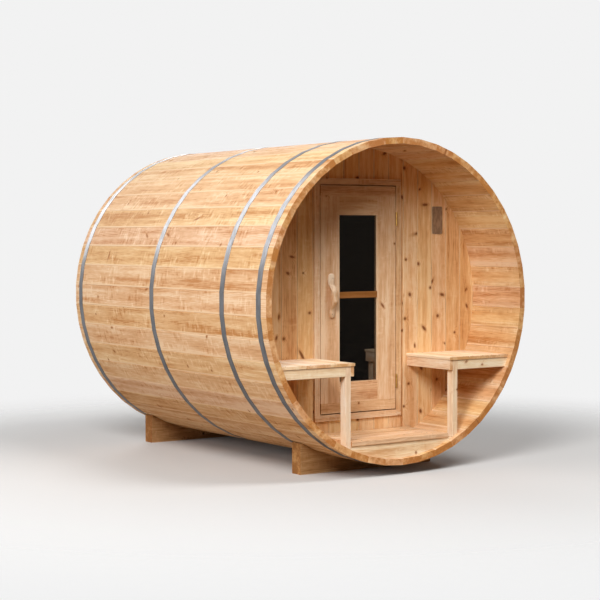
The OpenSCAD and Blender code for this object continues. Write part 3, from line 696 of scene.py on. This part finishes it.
def makeSign():
    a = np.linspace(0, 2 * math.pi, sign["sides"], endpoint=False)[None, :]
    half = np.array([sign["x"][1] - sign["x"][0], sign["z"][1] - sign["z"][0]]) / 2
    inset = np.array(sign["insets"])[:, None]
    depth = np.array(sign["shares"])[:, None] * sign["thick"]
    power = sign["power"]
    size = (np.abs(np.cos(a)) ** power + np.abs(np.sin(a)) ** power) ** (-1 / power)
    x = sum(sign["x"]) / 2 + (half[0] - inset) * size * np.cos(a)
    z = sum(sign["z"]) / 2 + (half[1] - inset) * size * np.sin(a)
    rings = np.stack([x, sign["face"] - depth + 0 * a, z], -1)
    ringPiece("signPlate", rings, makeSignMetal(), "barrel")
    step = sign["screwInset"]
    outer = sign["face"] - sign["shares"][-1] * sign["thick"]
    corners = [(x, outer, z) for x in (sign["x"][0] + step, sign["x"][1] - step)
               for z in (sign["z"][0] + step, sign["z"][1] - step)]
    setScrews("signScrews", corners, (0, -1, 0), sign["screwRadius"], sign["screwHeight"], "barrel")


makeSign()

# Screws in the porch timbers, two to a board over each bearer and rail
porch = {"bearer": 0.27, "spread": 0.27, "deckBoards": 4, "seatBoards": 3, "reach": 0.82,
         "radius": 0.004, "proud": 0.0005}


def boardLines(low, high, boards):  # two lines of screws on each board
    pitch = (high - low) / boards
    return [low + (i + 0.5 + s * porch["spread"]) * pitch for i in range(boards) for s in (-1, 1)]


def porchScrews():
    low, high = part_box("porch_deck")
    places = [(x, y, high[2]) for y in boardLines(low[1], high[1], porch["deckBoards"])
              for x in (-porch["bearer"], porch["bearer"])]
    for side in ("left", "right"):
        low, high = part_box(side + "_seat")
        supports = (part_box(side + "_front_rail"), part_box("seat_cleats"))
        lines = boardLines(low[0], high[0], porch["seatBoards"])
        places += [(x, (b[0][1] + b[1][1]) / 2, high[2]) for x in lines for b in supports
                   if abs(x) < porch["reach"]]
    setScrews("porchScrews", places, (0, 0, 1), porch["radius"], porch["proud"], "barrel")


porchScrews()
print("added the handle, plate and screws")

# Floor, backdrop and light
studio = {"backdrop": (242, 242, 242), "sky": (1.0, 0.985, 0.96, 1.0), "skyLight": 0.02,
          "floorHalf": 14.0, "floorSeen": (208, 208, 209), "floorBounce": (172, 148, 122),
          "floorRoughness": 0.9, "floorFade": (1.6, 4.5)}


def directRays(tree):
    path = tree.nodes.new("ShaderNodeLightPath").outputs
    mirrored = calc(tree, "MAXIMUM", path["Is Glossy Ray"], path["Is Transmission Ray"])
    return calc(tree, "MAXIMUM", path["Is Camera Ray"], mirrored)


def stagePiece(name, pts, material):  # one four-sided sheet, points in two rows
    mesh = bpy.data.meshes.new(name)
    mesh.from_pydata(pts.reshape(-1, 3).tolist(), [], [(0, 1, 3, 2)])
    mesh.materials.append(material)
    piece = bpy.data.objects.new(name, mesh)
    scene.collection.objects.link(piece)
    return piece


def makeFloor():
    m, tree, shader = newMaterial("studioFloor")
    # pale to the eye and in reflections, dimmer as a source of bounced light
    pale = blendColour(tree, directRays(tree), tone(*studio["floorBounce"]), tone(*studio["floorSeen"]))
    feed(tree, shader.inputs["Base Color"], pale)
    shader.inputs["Roughness"].default_value = studio["floorRoughness"]
    far = length(tree, *objectXyz(tree)[:2])
    clear = tree.nodes.new("ShaderNodeBsdfTransparent")
    mix = tree.nodes.new("ShaderNodeMixShader")
    feed(tree, mix.inputs[0], ease(tree, far, *studio["floorFade"]))  # the floor fades into the backdrop
    feed(tree, mix.inputs[1], shader.outputs[0])
    feed(tree, mix.inputs[2], clear.outputs[0])
    feed(tree, tree.nodes["Material Output"].inputs["Surface"], mix.outputs[0])
    u = np.array([-1.0, 1.0]) * studio["floorHalf"]
    xs, ys = np.meshgrid(u, u)
    stagePiece("studioFloor", np.stack([xs, ys, np.zeros_like(xs)], -1), m)


# A black card in front of the porch, which only reflections show, so that the pane mirrors the bench and
# little else
flag = {"middle": (2.9, -4.85), "turn": 34.6, "wide": 1.3, "high": 1.9, "colour": (22, 22, 20)}


def makeFlag():
    m, _, shader = newMaterial("blackCard")
    shader.inputs["Base Color"].default_value = tone(*flag["colour"])
    shader.inputs["Roughness"].default_value = 1.0
    a = math.radians(flag["turn"])
    across, up = np.meshgrid(np.array([-0.5, 0.5]) * flag["wide"], np.array([0.0, flag["high"]]))
    x = flag["middle"][0] + across * math.cos(a)
    y = flag["middle"][1] + across * math.sin(a)
    card = stagePiece("blackCard", np.stack([x, y, up], -1), m)
    card.visible_camera = card.visible_diffuse = card.visible_transmission = card.visible_shadow = False


def makeWorld():
    world = bpy.data.worlds.new("studioWorld")
    scene.world = world
    world.use_nodes = True
    tree = world.node_tree
    light = tree.nodes["Background"]
    light.inputs["Color"].default_value = studio["sky"]
    light.inputs["Strength"].default_value = studio["skyLight"]
    seen = tree.nodes.new("ShaderNodeBackground")
    seen.inputs["Color"].default_value = tone(*studio["backdrop"])
    mix = tree.nodes.new("ShaderNodeMixShader")
    feed(tree, mix.inputs[0], directRays(tree))
    feed(tree, mix.inputs[1], light.outputs[0])
    feed(tree, mix.inputs[2], seen.outputs[0])
    feed(tree, tree.nodes["World Output"].inputs["Surface"], mix.outputs[0])


makeFloor()
makeFlag()
makeWorld()

# The back lamp only adds shine, for the hoops, and the rear lamp lights the back, out of the camera's sight
lamps = {
    "keyLamp": {"place": (-6.17, -5.48, 6.03), "aim": (0.0, -0.3, 1.0), "size": 4.0, "watts": 830.0,
                "colour": (1.0, 0.98, 0.95)},
    "frontLamp": {"place": (2.3, -5.24, 8.78), "aim": (0.0, -0.3, 1.0), "size": 4.0, "watts": 480.0,
                  "colour": (1.0, 0.98, 0.95)},
    "sideLamp": {"place": (-9.15, 1.31, 2.98), "aim": (0.0, -0.3, 1.0), "size": 4.0, "watts": 305.0,
                 "colour": (1.0, 1.0, 1.0)},
    "backLamp": {"place": (-2.6, 7.3, 5.8), "aim": (0.0, 0.0, 1.2), "size": 7.0, "watts": 560.0,
                 "colour": (1.0, 1.0, 1.0), "shineOnly": True},
    "rearLamp": {"place": (3.6, 8.4, 3.2), "aim": (0.0, 0.3, 1.0), "size": 4.0, "watts": 260.0,
                 "colour": (1.0, 0.99, 0.97)},
}


def areaLamp(name, place, aim, size, watts, colour, shineOnly=False):
    lamp = bpy.data.lights.new(name, "AREA")
    lamp.shape = "DISK"
    lamp.size = size
    lamp.energy = watts
    lamp.color = colour
    o = bpy.data.objects.new(name, lamp)
    scene.collection.objects.link(o)
    o.location = place
    o.visible_diffuse = not shineOnly
    o.rotation_euler = (Vector(place) - Vector(aim)).to_track_quat("Z", "Y").to_euler()


for name, values in lamps.items():
    areaLamp(name, **values)
print("lit the studio")

# Camera, fitted to the rim, hoops and wall in the photograph
shot = {"place": (-5.8647, -8.5999, 1.4399), "yaw": 34.603, "pitch": -2.368, "roll": -0.126,
        "lens": 95.18, "sensor": 36.0}
eye = bpy.data.objects.new("photoCamera", bpy.data.cameras.new("photoCamera"))
scene.collection.objects.link(eye)
eye.data.lens = shot["lens"]
eye.data.sensor_width = shot["sensor"]
turn = (Matrix.Rotation(math.radians(-shot["yaw"]), 3, "Z")
        @ Matrix.Rotation(math.radians(90 + shot["pitch"]), 3, "X")
        @ Matrix.Rotation(math.radians(shot["roll"]), 3, "Z"))
eye.matrix_world = Matrix.Translation(shot["place"]) @ turn.to_4x4()
scene.camera = eye
